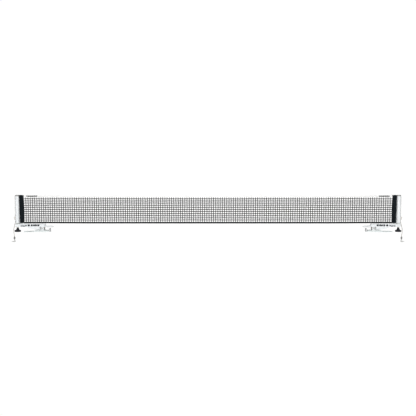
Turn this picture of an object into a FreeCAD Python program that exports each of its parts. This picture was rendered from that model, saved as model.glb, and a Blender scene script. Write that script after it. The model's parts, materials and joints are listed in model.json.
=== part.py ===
import FreeCAD, Part
import math
import os
from FreeCAD import Vector as V

os.makedirs("parts", exist_ok=True)

# ---------------------------------------------------------------- dimensions
# Table tennis net set: a net between two posts, each post carried by a
# lever clamp that grips the edge of the table top.
# Frame: +X along the net, -Y towards the viewer, +Z up.  The origin is the
# middle of the net line on the playing surface (z = 0 is the table top).
SET_LEN = 1830.0        # outside of one post to the outside of the other
NET_TOP = 152.5         # top edge of the net above the playing surface
HALF = SET_LEN / 2.0    # u = 0 at the outer face of a post, u grows inwards

# clamp arm (inverted steel channel)
ARM_W = 34.0
ARM_T = 1.5
ARM_TOP = 15.0
ARM_BOT = 1.5
ARM_U0 = 0.5
ARM_ROOF_END = 140.5
ARM_U1 = 173.0

# lever pivot
PIV_U = 127.0
PIV_Z = -5.0
PIN_R = 2.5
RUN = 0.05              # running clearance on radius
LEVER_OPEN_DEG = 19.0

# lever (upright steel channel that nests in the arm)
LEV_W = 27.0
LEV_T = 1.5
JAW_GAP = 8.0

# torsion spring
SPR_WIRE = 2.2
SPR_MEAN_R = 7.9
SPR_PITCH = 2.6

# post and guide
POST_U = 8.75           # post axis
POST_W = 17.5
POST_D = 26.0
POST_T = 1.5
POST_R = 6.0
POST_Z0 = 19.6
POST_Z1 = 147.5
CAP_TOP = NET_TOP - 0.7
WING_TOP = NET_TOP - 1.0
GUIDE_TOP = 58.0
GUIDE_CLR = 0.1

# height screw
SCREW_R = 3.0
THREAD_PITCH = 1.0
KNOB_R = 14.75

# net end rod and sleeve
ROD_U = 28.4
ROD_R = 3.0
SLEEVE_U0 = 17.8
SLEEVE_U1 = 39.3
SLEEVE_D = 11.0
SLEEVE_T = 0.9

# net
NET_U0 = 39.3
TAPE_U0 = 39.5
TAPE_Z0 = 140.0
TAPE_D = 4.4
BAND_Z0 = 17.7
BAND_Z1 = 23.5
BAND_D = 3.4
NET_D = 1.6

# cords
CORD_R = 1.15
CORD_Z = 149.6
CORD_OUT_U = -1.6
CORD_BEND = 3.2
CLEAT_Z0 = 33.0
CLEAT_Z1 = 50.0
TAIL = [(-1.6, 0.0, 33.0), (-1.6, 0.0, 24.0), (-4.6, -0.4, 12.0), (-8.8, -0.5, -2.0),
        (-11.0, -0.2, -17.0), (-9.9, 0.1, -31.0), (-8.2, 0.0, -42.0), (-7.8, 0.0, -52.0),
        (-7.75, 0.0, -61.0)]
BEAD_U = -7.8
BEAD_Z0 = -59.5
BEAD_Z1 = -47.5
BEAD_R = 3.8

# ---------------------------------------------------------------- helpers
AX_Z = V(0, 0, 1)


def box(x0, x1, y0, y1, z0, z1):
    return Part.makeBox(x1 - x0, y1 - y0, z1 - z0, V(x0, y0, z0))


def cyl_z(x, y, r, z0, z1):
    return Part.makeCylinder(r, z1 - z0, V(x, y, z0), V(0, 0, 1))


def cyl_y(x, z, r, y0, y1):
    return Part.makeCylinder(r, y1 - y0, V(x, y0, z), V(0, 1, 0))


def cyl_x(y, z, r, x0, x1):
    return Part.makeCylinder(r, x1 - x0, V(x0, y, z), V(1, 0, 0))


def prism(points, y0, y1):
    """Side view polygon (u, z) pushed along y."""
    pts = [V(p[0], y0, p[1]) for p in points]
    pts.append(pts[0])
    return Part.Face(Part.makePolygon(pts)).extrude(V(0, y1 - y0, 0))


def revolve(points, x, y):
    """Profile (r, z) turned about the vertical axis at x, y."""
    pts = [V(x + p[0], y, p[1]) for p in points]
    pts.append(pts[0])
    return Part.Face(Part.makePolygon(pts)).revolve(V(x, y, 0), AX_Z, 360)


def rounded(cx, cy, w, d, r, z0, z1):
    """Vertical prism with a rounded rectangular section."""
    hw, hd = w / 2.0, d / 2.0
    k = r * (1 - math.sqrt(0.5))
    e = []

    def line(a, b):
        if (V(*a) - V(*b)).Length > 1e-6:
            e.append(Part.LineSegment(V(*a), V(*b)).toShape())

    def arc(a, b, c):
        e.append(Part.Arc(V(*a), V(*b), V(*c)).toShape())

    x0, x1, y0, y1 = cx - hw, cx + hw, cy - hd, cy + hd
    line((x0 + r, y0, z0), (x1 - r, y0, z0))
    arc((x1 - r, y0, z0), (x1 - k, y0 + k, z0), (x1, y0 + r, z0))
    line((x1, y0 + r, z0), (x1, y1 - r, z0))
    arc((x1, y1 - r, z0), (x1 - k, y1 - k, z0), (x1 - r, y1, z0))
    line((x1 - r, y1, z0), (x0 + r, y1, z0))
    arc((x0 + r, y1, z0), (x0 + k, y1 - k, z0), (x0, y1 - r, z0))
    line((x0, y1 - r, z0), (x0, y0 + r, z0))
    arc((x0, y0 + r, z0), (x0 + k, y0 + k, z0), (x0 + r, y0, z0))
    return Part.Face(Part.Wire(e)).extrude(V(0, 0, z1 - z0))


def fillet(shape, r, pick):
    """Round the edges that pick(edge) accepts."""
    edges = [ed for ed in shape.Edges if pick(ed)]
    return shape.makeFillet(r, edges) if edges else shape


def along(ed, axis):
    if not isinstance(ed.Curve, (Part.Line, Part.LineSegment)):
        return False
    d = ed.Vertexes[-1].Point - ed.Vertexes[0].Point
    return d.Length > 1e-6 and abs(abs(d.normalize().dot(axis)) - 1) < 1e-6


def route(points, share=0.45, label=None):
    """Straight runs joined by tangent arcs; returns the wire and its length."""
    pts = [V(*p) for p in points]
    cuts = [None] * len(pts)
    radii = []
    for i in range(1, len(pts) - 1):
        a, b = pts[i] - pts[i - 1], pts[i + 1] - pts[i]
        turn = a.getAngle(b)
        back = share * min(a.Length, b.Length)
        radii.append(round(back / math.tan(turn / 2), 1))
        an, bn = V(a).normalize(), V(b).normalize()
        p0, p1 = pts[i] - an * back, pts[i] + bn * back
        r = back / math.tan(turn / 2)
        c = p0 + (bn - an * bn.dot(an)).normalize() * r
        mid = c + (pts[i] - c).normalize() * r
        cuts[i] = (p0, mid, p1)
    e, at = [], pts[0]
    for i in range(1, len(pts) - 1):
        p0, mid, p1 = cuts[i]
        e.append(Part.LineSegment(at, p0).toShape())
        e.append(Part.Arc(p0, mid, p1).toShape())
        at = p1
    e.append(Part.LineSegment(at, pts[-1]).toShape())
    w = Part.Wire(e)
    if label:
        print(label, "radii", radii, "length", round(w.Length, 2))
    return w, w.Length


def tube(wire, r):
    """Round bar along a wire of lines and arcs."""
    first = wire.OrderedEdges[0]
    p = first.valueAt(first.FirstParameter)
    t = first.tangentAt(first.FirstParameter)
    if (p - wire.OrderedVertexes[0].Point).Length > 1e-6:
        p = first.valueAt(first.LastParameter)
        t = first.tangentAt(first.LastParameter)
    disc = Part.Wire(Part.makeCircle(r, p, t))
    return wire.makePipeShell([disc], True, False)


nodes = {}


def put(name, shape):
    if shape.ShapeType == "Compound" and len(shape.Solids) == 1:
        shape = shape.Solids[0]
    if not shape.isValid() or shape.Volume <= 0:
        print("BAD", name, shape.ShapeType, shape.Volume)
    nodes[name] = shape


def to_left(shape):
    s = shape.copy()
    s.translate(V(-HALF, 0, 0))
    return s


def to_right(shape):
    s = to_left(shape)
    s.rotate(V(0, 0, 0), AX_Z, 180)
    return s


def ends(name, shape):
    """The same piece at both ends; the right end is the left one turned round."""
    put("left_" + name, to_left(shape))
    put("right_" + name, to_right(shape))


def both(name, shapes):
    """Identical fasteners of both ends in one node."""
    solids = []
    for s in shapes:
        solids += [to_left(s), to_right(s)]
    put(name, Part.makeCompound(solids))


# ---------------------------------------------------------------- clamp arm
hw = ARM_W / 2.0
arm = prism([(ARM_U0, ARM_BOT), (ARM_U0, ARM_TOP), (ARM_ROOF_END, ARM_TOP),
             (ARM_ROOF_END, 4.4), (169.0, 3.8), (ARM_U1, ARM_BOT)], -hw, hw)
arm = fillet(arm, 2.2, lambda ed: (along(ed, V(1, 0, 0)) and ed.BoundBox.ZMin > ARM_TOP - 0.1)
             or (along(ed, V(0, 1, 0)) and ed.BoundBox.ZMin > ARM_TOP - 0.1 and ed.BoundBox.XMax < 1)
             or (along(ed, V(0, 0, 1)) and ed.BoundBox.XMax < 1)
             or (along(ed, V(0, 1, 0)) and ed.BoundBox.ZMin > ARM_TOP - 0.1 and ed.BoundBox.XMin > 100))
arm = arm.cut(box(ARM_U0 + ARM_T, ARM_ROOF_END - ARM_T, -hw + ARM_T, hw - ARM_T, -5, ARM_TOP - ARM_T))
# the roof turns down at ARM_ROOF_END and meets the jaw plate; the side walls run on as low gussets
arm = arm.cut(box(ARM_ROOF_END - ARM_T - 0.1, 180, -hw + ARM_T, hw - ARM_T, -5, 3.5))
arm = arm.cut(box(ARM_ROOF_END, 180, -hw + ARM_T, hw - ARM_T, -5, 30))
for s in (-1, 1):
    y0, y1 = (-hw, -hw + ARM_T) if s < 0 else (hw - ARM_T, hw)
    # pivot ear, with a turned-in tab that stops the lever when it closes
    lug = prism([(121.0, 4.0), (135.6, 4.0), (135.6, -14.1), (129.5, -14.1), (123.4, -10.6), (121.0, -7.6)], y0, y1)
    # side skirt that deepens towards the pivot
    skirt = prism([(53.0, 4.0), (55.5, 0.8), (60.0, -3.0), (68.0, -6.6), (88.0, -9.2), (94.0, -11.2), (117.4, -11.8),
                   (117.4, 4.0)], y0, y1)
    skirt = fillet(skirt, 1.5, lambda ed: along(ed, V(0, 1, 0)) and ed.BoundBox.XMin > 117 and ed.BoundBox.ZMax < -11)
    t0, t1 = (-hw, -11.6) if s < 0 else (11.6, hw)
    arm = arm.fuse([lug, skirt, box(133.0, 135.6, t0, t1, -14.1, -12.6)])
arm = arm.removeSplitter()
arm = arm.cut(cyl_y(PIV_U, PIV_Z, PIN_R, -30, 30))
arm = arm.cut(cyl_z(POST_U, 0, 4.2, 10, 20))
for y in (-7.6, 7.6):
    arm = arm.cut(cyl_z(POST_U, y, 1.5, 10, 20))
ends("clamp_arm", arm)

base = box(ARM_U0 + ARM_T, 26.0, -hw + ARM_T, hw - ARM_T, ARM_BOT, 3.5)
base = base.cut(cyl_z(POST_U, 0, 4.0 + RUN, 0, 5))
ends("base_plate", base)

jaw = box(137.8, 178.0, -hw + ARM_T, hw - ARM_T, ARM_BOT, 3.5)
jaw = fillet(jaw, 4.0, lambda ed: along(ed, AX_Z) and ed.BoundBox.XMin > 177)
ends("upper_jaw_plate", jaw)

pad = box(141.0, 176.6, -14.0, 14.0, 0.0, ARM_BOT)
pad = fillet(pad, 3.0, lambda ed: along(ed, AX_Z))
ends("upper_jaw_pad", pad)

# ---------------------------------------------------------------- lever
lh = LEV_W / 2.0
outline = [(38.0, -23.2), (39.6, -25.0), (62.0, -25.0), (72.0, -24.0), (140.0, -24.0), (152.0, -22.2), (157.6, -22.2),
           (157.6, -17.4), (156.0, -16.0), (148.0, -15.9), (138.5, -15.6), (135.0, -14.4), (132.0, -14.4), (132.0, PIV_Z),
           (130.54, PIV_Z + 3.54), (127.0, 0.0), (123.46, PIV_Z + 3.54), (122.0, PIV_Z), (122.0, -14.2),
           (118.0, -14.4), (99.0, -14.6), (93.0, -15.8), (85.0, -20.0), (76.0, -21.0), (41.0, -21.6), (38.0, -22.0)]
lever = prism(outline, -lh, lh)
lever = fillet(lever, 1.6, lambda ed: along(ed, V(1, 0, 0)) and ed.BoundBox.ZMax < -23.9)
inner = prism([(30.0, -23.5), (62.2, -23.5), (72.2, -22.5), (139.9, -22.5), (151.9, -20.7), (165.0, -20.7),
               (165.0, 20.0), (30.0, 20.0)], -lh + LEV_T, lh - LEV_T)
lever = lever.cut(inner)
tongue = box(150.0, 165.8, -11.0, 11.0, -22.2, -20.7)
tongue = fillet(tongue, 2.0, lambda ed: along(ed, AX_Z) and ed.BoundBox.XMin > 165)
lever = lever.fuse(tongue).removeSplitter()
lever = lever.cut(cyl_z(161.7, 0, 2.5, -24, -18))
lever = lever.cut(cyl_y(PIV_U, PIV_Z, PIN_R + RUN, -30, 30))
# turned-up lip that closes the handle end
lip = box(38.0, 39.5, -lh + LEV_T, lh - LEV_T, -23.5, -22.0)
lever = lever.fuse(lip).removeSplitter()
ends("lever", lever)

lpad = prism([(158.6, -20.7), (164.6, -20.7), (164.6, -9.2), (163.6, -JAW_GAP), (159.6, -JAW_GAP), (158.6, -9.2)], -13.0, 13.0)
lpad = fillet(lpad, 1.2, lambda ed: along(ed, AX_Z) and ed.BoundBox.XMin > 164)
# moulded button that snaps through the tongue
lpad = lpad.fuse([cyl_z(161.7, 0, 2.5, -22.4, -20.7), cyl_z(161.7, 0, 3.6, -23.4, -22.2)]).removeSplitter()
ends("lower_jaw_pad", lpad)

# ---------------------------------------------------------------- pivot
pin = cyl_y(PIV_U, PIV_Z, PIN_R, -hw - 0.5, hw + 2.0)
pin = pin.fuse(cyl_y(PIV_U, PIV_Z, 4.2, -hw - 1.6, -hw)).removeSplitter()
pin = fillet(pin, 0.7, lambda ed: ed.BoundBox.YMax < -hw - 1.5)
pin = pin.cut(cyl_y(PIV_U, PIV_Z, 6, hw + 0.1, hw + 0.9).cut(cyl_y(PIV_U, PIV_Z, 2.0, hw, hw + 1)))
ends("pivot_pin", pin)

clip = cyl_y(PIV_U, PIV_Z, 4.4, hw + 0.15, hw + 0.85).cut(cyl_y(PIV_U, PIV_Z, 2.05, hw, hw + 1))
clip = clip.cut(box(PIV_U - 1.6, PIV_U + 1.6, hw, hw + 1, PIV_Z - 6, PIV_Z))
both("pivot_clips", [clip])

spacer = []
for y in (-hw + ARM_T + 0.05, lh + 0.05):
    spacer.append(cyl_y(PIV_U, PIV_Z, 4.4, y, y + 1.9).cut(cyl_y(PIV_U, PIV_Z, PIN_R + RUN, y - 1, y + 3)))
ends("pivot_spacers", Part.makeCompound(spacer))

# ---------------------------------------------------------------- torsion spring
TURN = 75.0 + 73.0 + 360.0 * 5          # degrees of winding between the two legs
half_len = SPR_PITCH * TURN / 360.0 / 2.0
helix = Part.makeHelix(SPR_PITCH, 2 * half_len, SPR_MEAN_R)
helix.rotate(V(0, 0, 0), AX_Z, -75.0)
helix.translate(V(0, 0, -half_len))
helix.rotate(V(0, 0, 0), V(1, 0, 0), -90)
helix.translate(V(PIV_U, 0, PIV_Z))
he = helix.Edges
h0, h1 = he[0], he[-1]
ps, ts = h0.valueAt(h0.FirstParameter), h0.tangentAt(h0.FirstParameter)
pe, te = h1.valueAt(h1.LastParameter), h1.tangentAt(h1.LastParameter)
if ps.y > pe.y:
    ps, ts, pe, te = pe, -te, ps, -ts
leg_a = Part.LineSegment(ps - ts * 34.5, ps).toShape()
leg_b = Part.LineSegment(pe, pe + te * 30.0).toShape()
spine = Part.Wire([leg_a] + list(he) + [leg_b])
disc = Part.Wire(Part.makeCircle(SPR_WIRE / 2, ps - ts * 34.5, ts))
spring = spine.makePipeShell([disc], True, True)
print("spring volume", round(spring.Volume, 1), "expected", round(math.pi * (SPR_WIRE / 2) ** 2 * spine.Length, 1), spring.isValid(),
      "legs", (ps - ts * 34.5), pe + te * 30.0)
ends("torsion_spring", spring)

# ---------------------------------------------------------------- height screw
knob = revolve([(4.0, -20.8), (9.6, -20.8), (10.4, -23.0), (13.9, -23.0), (14.5, -22.7), (KNOB_R, -22.1), (KNOB_R, -17.1),
                (14.5, -16.5), (13.8, -16.1), (10.6, -15.9), (9.2, -15.5), (8.3, -14.6), (7.3, -13.0), (6.5, -11.4),
                (5.9, -9.8), (5.4, -8.0), (4.95, -6.2), (4.75, -4.9), (4.6, -4.5), (4.0, -4.5)], POST_U, 0)
for i in range(18):
    a = math.radians(i * 20)
    knob = knob.cut(cyl_z(POST_U + 15.7 * math.cos(a), 15.7 * math.sin(a), 1.5, -26, -15))
ends("height_knob", knob)

bush = cyl_z(POST_U, 0, 4.0, -20.8, 7.0).cut(cyl_z(POST_U, 0, SCREW_R + RUN, -30, 10))
bush = bush.cut(cyl_z(POST_U, 0, 6, 3.8, 4.7).cut(cyl_z(POST_U, 0, 3.5, 3, 6)))
ends("knob_bush", bush)

cring = cyl_z(POST_U, 0, 5.8, 3.85, 4.65).cut(cyl_z(POST_U, 0, 3.55, 3, 6))
cring = cring.cut(box(POST_U - 1.2, POST_U + 1.2, 0, 10, 3, 6))
ends("bush_circlip", cring)

washer = revolve([(4.0 + RUN, -4.4), (5.0, -4.4), (5.3, -4.1), (5.3, -0.2), (5.6, 0.4), (6.4, 0.6), (6.4, 1.45),
                  (4.0 + RUN, 1.45)], POST_U, 0)
ends("thrust_washer", washer)

rod = cyl_z(POST_U, 0, SCREW_R, -17.5, 74.0)
rod = rod.makeChamfer(0.6, [ed for ed in rod.Edges if ed.BoundBox.ZMax < -17])
ends("height_rod", rod)

# ---------------------------------------------------------------- post
in_w, in_d, in_r = POST_W - 2 * POST_T, POST_D - 2 * POST_T, POST_R - POST_T
guide = rounded(POST_U, 0, in_w - 2 * GUIDE_CLR, in_d - 2 * GUIDE_CLR, in_r - GUIDE_CLR, ARM_TOP, GUIDE_TOP)
guide = guide.cut(cyl_z(POST_U, 0, SCREW_R + 0.3, 10, 70))
for y in (-7.6, 7.6):
    guide = guide.cut(cyl_z(POST_U, y, 1.5, 10, 27))
ends("guide_block", guide)

scr = []
for y in (-7.6, 7.6):
    s = cyl_z(POST_U, y, 1.5, 11.0, 26.0).fuse(cyl_z(POST_U, y, 2.8, 11.2, ARM_TOP - ARM_T)).removeSplitter()
    s = s.cut(cyl_z(POST_U, y, 1.2, 10.5, 12.4))
    scr.append(s)
both("guide_screws", scr)

post = rounded(POST_U, 0, POST_W, POST_D, POST_R, POST_Z0, POST_Z1)
post = post.cut(rounded(POST_U, 0, in_w, in_d, in_r, 0, 200))
RIV_Z = 41.5
for y in (-5.3, 5.3):
    post = post.cut(cyl_x(y, RIV_Z, 1.0, -2, 4))
ANCH_Z = 69.0
post = post.cut(cyl_y(POST_U, ANCH_Z, 2.0, -20, 20))
ends("post", post)

foot = rounded(POST_U, 0, POST_W, POST_D, POST_R, POST_Z0 - 2, POST_Z0)
foot = foot.fuse([box(10.0, ROD_U, -4.2, 4.2, POST_Z0 - 2, POST_Z0), cyl_z(ROD_U, 0, 4.2, POST_Z0 - 2, POST_Z0)]).removeSplitter()
foot = foot.cut(rounded(POST_U, 0, in_w, in_d, in_r, 0, 200))
foot = foot.cut(cyl_z(ROD_U, 0, ROD_R, 0, 50))
ends("post_foot", foot)

anchor = rounded(POST_U, 0, in_w, in_d, in_r, 64.0, 74.0)
anchor = anchor.cut(cyl_z(POST_U, 0, SCREW_R, 60, 80))
for y0, y1 in ((-20, -SCREW_R - 1.2), (SCREW_R + 1.2, 20)):
    anchor = anchor.cut(cyl_y(POST_U, ANCH_Z, 2.0, y0, y1))
ends("rod_anchor", anchor)

riv = []
for s in (-1, 1):
    yf = s * POST_D / 2
    shank = cyl_y(POST_U, ANCH_Z, 2.0, min(s * (SCREW_R + 1.2), yf), max(s * (SCREW_R + 1.2), yf))
    dome = Part.makeSphere(4.6, V(POST_U, yf - s * 3.2, ANCH_Z))
    lim = cyl_y(POST_U, ANCH_Z, 3.6, min(yf, yf + s * 3), max(yf, yf + s * 3))
    riv.append(shank.fuse(dome.common(lim)).removeSplitter())
both("anchor_rivets", riv)

# ---------------------------------------------------------------- cords through the tape
left_path = [(CORD_OUT_U, 0, CLEAT_Z0), (CORD_OUT_U, 0, CORD_Z - CORD_BEND)]
e = [Part.LineSegment(V(CORD_OUT_U - HALF, 0, CLEAT_Z0), V(CORD_OUT_U - HALF, 0, CORD_Z - CORD_BEND)).toShape()]
k = CORD_BEND * (1 - math.sqrt(0.5))
e.append(Part.Arc(V(CORD_OUT_U - HALF, 0, CORD_Z - CORD_BEND), V(CORD_OUT_U - HALF + k, 0, CORD_Z - k),
                  V(CORD_OUT_U - HALF + CORD_BEND, 0, CORD_Z)).toShape())
e.append(Part.LineSegment(V(CORD_OUT_U - HALF + CORD_BEND, 0, CORD_Z), V(-CORD_OUT_U + HALF - CORD_BEND, 0, CORD_Z)).toShape())
e.append(Part.Arc(V(-CORD_OUT_U + HALF - CORD_BEND, 0, CORD_Z), V(-CORD_OUT_U + HALF - k, 0, CORD_Z - k),
                  V(-CORD_OUT_U + HALF, 0, CORD_Z - CORD_BEND)).toShape())
e.append(Part.LineSegment(V(-CORD_OUT_U + HALF, 0, CORD_Z - CORD_BEND), V(-CORD_OUT_U + HALF, 0, CLEAT_Z0)).toShape())
top_wire = Part.Wire(e)
top_cord = tube(top_wire, CORD_R)
print("top cord length", round(top_wire.Length, 1), "volume", round(top_cord.Volume, 1), "expected",
      round(math.pi * CORD_R ** 2 * top_wire.Length, 1))
put("top_cord", top_cord)
groove = tube(top_wire, CORD_R + 0.25)
groove.translate(V(HALF, 0, 0))          # back into the left end's own frame

cap = rounded(POST_U, 0, POST_W, POST_D, POST_R, POST_Z1, CAP_TOP)
cap = fillet(cap, 1.6, lambda ed: ed.BoundBox.ZMin > CAP_TOP - 0.01)
sd = SLEEVE_D / 2 - 0.5
wing = Part.Face(Part.makePolygon([V(POST_U, -sd, POST_Z1), V(30.5, -sd, POST_Z1), V(36.5, -2.2, POST_Z1), V(NET_U0 - 0.4, -2.2, POST_Z1),
                                   V(NET_U0 - 0.4, 2.2, POST_Z1), V(36.5, 2.2, POST_Z1), V(30.5, sd, POST_Z1), V(POST_U, sd, POST_Z1),
                                   V(POST_U, -sd, POST_Z1)])).extrude(V(0, 0, WING_TOP - POST_Z1))
wing = fillet(wing, 1.0, lambda ed: ed.BoundBox.ZMin > WING_TOP - 0.01 and ed.BoundBox.XMax > POST_U + 1)
cap = cap.fuse(wing)
plug = rounded(POST_U, 0, in_w, in_d, in_r, 138.0, POST_Z1).cut(rounded(POST_U, 0, in_w - 3, in_d - 3, in_r - 1.5, 130.0, POST_Z1 - 1))
cap = cap.fuse([plug, cyl_z(ROD_U, 0, 4.3, 141.0, POST_Z1)]).removeSplitter()
cap = cap.cut(cyl_z(ROD_U, 0, ROD_R, 130.0, 146.0))
cap = cap.cut(groove)
ends("post_cap", cap)

nrod = cyl_z(ROD_U, 0, ROD_R, POST_Z0 - 2, 146.0)
nrod = nrod.makeChamfer(0.5, [ed for ed in nrod.Edges if ed.BoundBox.ZMin > 145])
ends("net_rod", nrod)

sw = SLEEVE_U1 - SLEEVE_U0
sc = (SLEEVE_U0 + SLEEVE_U1) / 2
sleeve = rounded(sc, 0, sw, SLEEVE_D, SLEEVE_D / 2 - 0.2, POST_Z0 + 0.3, POST_Z1 - 0.2)
sleeve = sleeve.cut(rounded(sc, 0, sw - 2 * SLEEVE_T, SLEEVE_D - 2 * SLEEVE_T, SLEEVE_D / 2 - 0.2 - SLEEVE_T, 0, 200))
ends("net_sleeve", sleeve)

# ---------------------------------------------------------------- cord cleat
cleat = prism([(0.0, 50.0), (-3.8, 50.0), (-6.6, 48.4), (-9.0, 45.6), (-9.0, 43.4), (-6.4, 41.0), (-5.6, 38.0), (-6.6, 35.6),
               (-5.6, 33.0), (0.0, 33.0)], -3.5, 3.5)
cleat = fillet(cleat, 0.8, lambda ed: ed.BoundBox.XMax < -8.9 and along(ed, V(0, 0, 1)))
flange = box(-1.2, 0.0, -7.0, 7.0, 35.5, 47.5)
flange = fillet(flange, 1.5, lambda ed: along(ed, V(1, 0, 0)))
cleat = cleat.fuse(flange).removeSplitter()
cleat = cleat.cut(cyl_z(CORD_OUT_U, 0, CORD_R + 0.1, 20, 60)).cut(box(CORD_OUT_U, 1, -CORD_R - 0.1, CORD_R + 0.1, 20, 60))
# V notch that jams the cord
cleat = cleat.cut(prism([(-10, 41.8), (-10, 43.6), (-3.4, 42.6)], -1.3, 1.3))
for y in (-5.3, 5.3):
    cleat = cleat.cut(cyl_x(y, RIV_Z, 1.0, -3, 1))
ends("cord_cleat", cleat)

criv = []
for y in (-5.3, 5.3):
    criv.append(cyl_x(y, RIV_Z, 1.0, -1.6, POST_T).fuse(
        Part.makeSphere(1.9, V(-1.2 + 1.1, y, RIV_Z)).common(cyl_x(y, RIV_Z, 1.6, -3, -1.2))).removeSplitter())
both("cleat_rivets", criv)

# ---------------------------------------------------------------- hanging tail
tail_wire, tail_len = route(TAIL, label="tail")
tail = tube(tail_wire, CORD_R)
print("tail volume", round(tail.Volume, 1), "expected", round(math.pi * CORD_R ** 2 * tail_len, 1))
ends("cord_tail", tail)

bead = revolve([(1.6, BEAD_Z0), (2.7, BEAD_Z0), (3.3, BEAD_Z0 + 0.7), (3.65, BEAD_Z0 + 3.0), (BEAD_R, (BEAD_Z0 + BEAD_Z1) / 2),
                (3.65, BEAD_Z1 - 3.0), (3.3, BEAD_Z1 - 0.7), (2.7, BEAD_Z1), (1.6, BEAD_Z1)], BEAD_U, 0)
ends("cord_bead", bead)

hook = prism([(-3.4, -66.0), (-3.4, -71.6), (-4.6, -73.0), (-15.0, -73.0), (-22.4, -70.4), (-22.4, -69.4), (-12.0, -68.4),
              (-11.4, -66.0), (-10.2, -62.6), (-8.6, -61.0), (-6.8, -61.0), (-5.2, -62.6)], -1.0, 1.0)
hook = hook.cut(cyl_y(-7.75, -64.6, 1.5, -3, 3))
hook = fillet(hook, 0.4, lambda ed: along(ed, V(1, 0, 0)) and ed.BoundBox.ZMax < -72)
ends("cord_hook", hook)

# ---------------------------------------------------------------- net
x1 = HALF - TAPE_U0
tape = box(-x1, x1, -TAPE_D / 2, TAPE_D / 2, TAPE_Z0, NET_TOP)
tape = fillet(tape, 1.8, lambda ed: along(ed, V(1, 0, 0)) and ed.BoundBox.ZMin > NET_TOP - 0.1)
tape = tape.cut(cyl_x(0, CORD_Z, CORD_R + 0.05, -HALF, HALF))
put("top_tape", tape)

x1 = HALF - NET_U0
put("net_mesh", box(-x1, x1, -NET_D / 2, NET_D / 2, BAND_Z1, TAPE_Z0))
x1 = HALF - TAPE_U0
band = box(-x1, x1, -BAND_D / 2, BAND_D / 2, BAND_Z0, BAND_Z1)
band = fillet(band, 1.5, lambda ed: along(ed, V(1, 0, 0)) and ed.BoundBox.ZMax < BAND_Z0 + 0.1)
put("bottom_band", band)

# ---------------------------------------------------------------- export
for name, shape in nodes.items():
    shape.exportStep("parts/%s.step" % name)
print(len(nodes), "nodes")
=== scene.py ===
import math
import json
import random

import bpy
import numpy as np
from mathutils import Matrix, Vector


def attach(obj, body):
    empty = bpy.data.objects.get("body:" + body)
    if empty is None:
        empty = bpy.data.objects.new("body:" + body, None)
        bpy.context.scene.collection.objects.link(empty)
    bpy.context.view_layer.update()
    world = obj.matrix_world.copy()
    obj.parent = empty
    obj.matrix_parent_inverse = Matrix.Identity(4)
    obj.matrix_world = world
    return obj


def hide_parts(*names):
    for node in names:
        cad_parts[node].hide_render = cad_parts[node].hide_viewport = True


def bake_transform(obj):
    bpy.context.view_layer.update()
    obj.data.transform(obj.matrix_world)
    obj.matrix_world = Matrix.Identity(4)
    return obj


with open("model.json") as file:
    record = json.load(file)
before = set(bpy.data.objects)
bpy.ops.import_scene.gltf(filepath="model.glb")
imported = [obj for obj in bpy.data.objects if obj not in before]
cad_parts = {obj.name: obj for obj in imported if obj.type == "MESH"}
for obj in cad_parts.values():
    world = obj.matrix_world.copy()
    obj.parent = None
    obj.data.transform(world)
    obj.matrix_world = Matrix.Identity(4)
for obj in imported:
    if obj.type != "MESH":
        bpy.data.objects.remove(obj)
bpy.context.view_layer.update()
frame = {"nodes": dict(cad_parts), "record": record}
NODES = frame["nodes"]
rng = np.random.default_rng(7)
random.seed(7)

# All lengths in metres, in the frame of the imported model.
HALF = 0.915
MM = 0.001


def U(u):
    """Left-end coordinate, in mm inwards from the outer face of the post, to X."""
    return (u - 915.0) * MM


# ------------------------------------------------------------------ materials
def new_mat(name):
    m = bpy.data.materials.new(name)
    m.use_nodes = True
    nt = m.node_tree
    bsdf = nt.nodes["Principled BSDF"]
    return m, nt, bsdf


def nd(nt, kind, **kw):
    n = nt.nodes.new(kind)
    for k, v in kw.items():
        if k.startswith("_"):
            n.inputs[k[1:].replace("_", " ")].default_value = v
        else:
            setattr(n, k, v)
    return n


def coords(nt):
    return nd(nt, "ShaderNodeTexCoord").outputs["Object"]


def noise(nt, vec, scale, detail=2.0, rough=0.5):
    n = nd(nt, "ShaderNodeTexNoise")
    n.inputs["Scale"].default_value = scale
    n.inputs["Detail"].default_value = detail
    n.inputs["Roughness"].default_value = rough
    nt.links.new(vec, n.inputs["Vector"])
    return n.outputs["Fac"]


def ramp(nt, fac, stops):
    r = nd(nt, "ShaderNodeValToRGB")
    e = r.color_ramp.elements
    while len(e) < len(stops):
        e.new(0.5)
    for el, (p, c) in zip(e, stops):
        el.position = p
        el.color = (*c, 1) if len(c) == 3 else c
    nt.links.new(fac, r.inputs["Fac"])
    return r.outputs["Color"]


def maprange(nt, fac, a, b, lo, hi):
    n = nd(nt, "ShaderNodeMapRange")
    for k, v in zip(("From Min", "From Max", "To Min", "To Max"), (a, b, lo, hi)):
        n.inputs[k].default_value = v
    nt.links.new(fac, n.inputs["Value"])
    return n.outputs["Result"]


def math_node(nt, op, a, b=None):
    n = nd(nt, "ShaderNodeMath", operation=op)
    for i, v in enumerate((a, b)):
        if v is None:
            continue
        if isinstance(v, (int, float)):
            n.inputs[i].default_value = v
        else:
            nt.links.new(v, n.inputs[i])
    return n.outputs[0]


def bump(nt, bsdf, height, distance, strength=1.0):
    b = nd(nt, "ShaderNodeBump")
    b.inputs["Distance"].default_value = distance
    b.inputs["Strength"].default_value = strength
    nt.links.new(height, b.inputs["Height"])
    nt.links.new(b.outputs["Normal"], bsdf.inputs["Normal"])
    return b


def scaled(nt, vec, s):
    m = nd(nt, "ShaderNodeMapping")
    m.inputs["Scale"].default_value = s
    nt.links.new(vec, m.inputs["Vector"])
    return m.outputs["Vector"]


def convex_edge_highlight(nt, amount):
    """Painted highlight: a lighter colour where the surface is convex."""
    g = nd(nt, "ShaderNodeNewGeometry")
    return maprange(nt, g.outputs["Pointiness"], 0.5, 0.62, 0.0, amount)


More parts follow.
